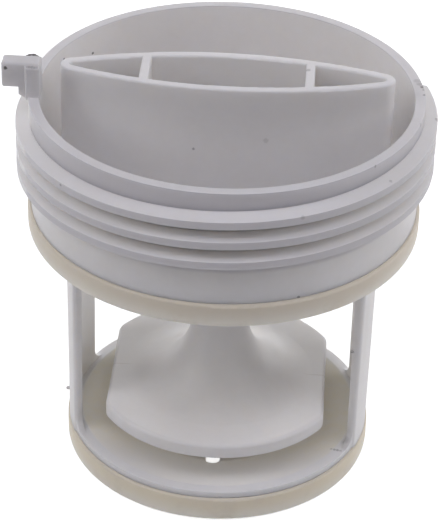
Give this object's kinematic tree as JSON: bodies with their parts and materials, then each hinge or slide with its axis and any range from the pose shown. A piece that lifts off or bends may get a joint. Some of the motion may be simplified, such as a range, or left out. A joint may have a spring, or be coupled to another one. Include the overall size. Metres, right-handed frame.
{
  "type": "washer pump filter",
  "caption": "Screw-in drain pump filter: threaded cup with a hollow grip, two-legged cage with a baffle disc and end ring, and rubber seals on the cap and the ring.",
  "frame": {"origin": "centre of the base on the screw axis", "axes": "+Z along the screw axis from the base to the grip, +X along the grip away from the rim lug"},
  "size_m": [0.0737, 0.072, 0.0779],
  "materials": {
    "white_plastic": "satin",
    "seal_rubber": "matte"
  },
  "bodies": {
    "root": {"filter_body": "white_plastic", "upper_seal": "seal_rubber", "lower_seal": "seal_rubber"}
  },
  "joints": []
}
